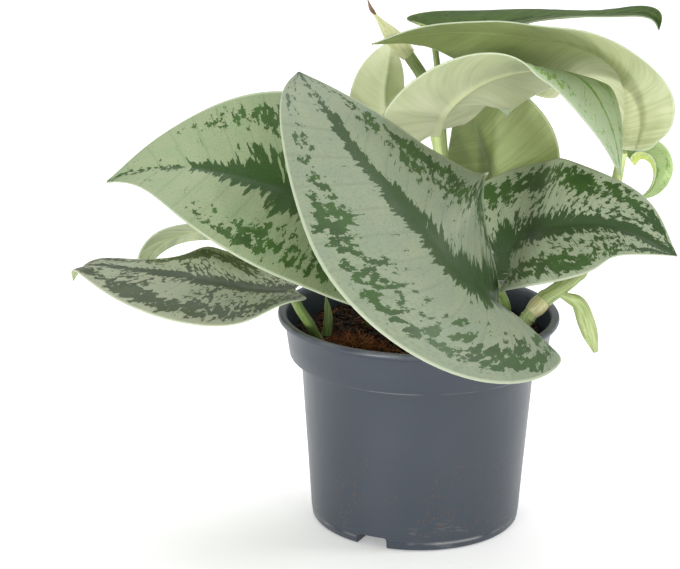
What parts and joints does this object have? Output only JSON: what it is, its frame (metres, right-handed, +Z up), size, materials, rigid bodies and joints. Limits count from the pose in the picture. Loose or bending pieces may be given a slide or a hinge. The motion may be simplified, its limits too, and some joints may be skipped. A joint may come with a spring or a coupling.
{
  "type": "potted scindapsus",
  "caption": "Satin pothos vine with silver-variegated heart-shaped leaves on arching stalks, growing in a round plastic nursery pot.",
  "frame": {"origin": "centre of the pot's flat underside", "axes": "+Z up along the pot's axis, +X to the right and -Y to the front, where the largest leaf faces"},
  "size_m": [0.2536, 0.2043, 0.2221],
  "materials": {
    "pot_plastic": "moulded grey-blue polypropylene",
    "potting_mix": "loose coir and peat, stands in for soil",
    "variegated_leaf": "satin leaf, silver field with dark green markings",
    "pale_leaf": "pale green leaf underside",
    "young_leaf": "young yellow-green tissue",
    "green_stalk": "smooth waxy stalk",
    "dry_tissue": "dried brown tip"
  },
  "bodies": {
    "root": {"nursery_pot": "pot_plastic", "potting_mix": "potting_mix", "front_leaf": "variegated_leaf", "left_leaf": "variegated_leaf", "lower_left_leaf": "variegated_leaf", "arching_leaf": "pale_leaf", "right_leaf": "variegated_leaf", "upper_centre_leaf": "pale_leaf", "upper_right_leaf": "pale_leaf", "top_leaf": "pale_leaf", "small_pale_leaf": "pale_leaf", "back_leaf": "pale_leaf", "young_curled_leaf": "young_leaf", "main_vine": "green_stalk", "right_vine": "green_stalk", "right_vine_upper": "green_stalk", "front_petiole": "green_stalk", "left_petiole": "green_stalk", "arching_petiole": "green_stalk", "lower_left_petiole": "green_stalk", "right_petiole": "green_stalk", "upper_centre_petiole": "green_stalk", "upper_right_petiole": "green_stalk", "top_petiole": "green_stalk", "small_pale_petiole": "green_stalk", "back_petiole": "green_stalk", "shoot_sheath": "young_leaf", "dry_shoot_tip": "dry_tissue", "right_node_ring": "green_stalk", "hanging_bud": "young_leaf", "left_spear": "green_stalk", "right_spear": "green_stalk"}
  },
  "joints": []
}
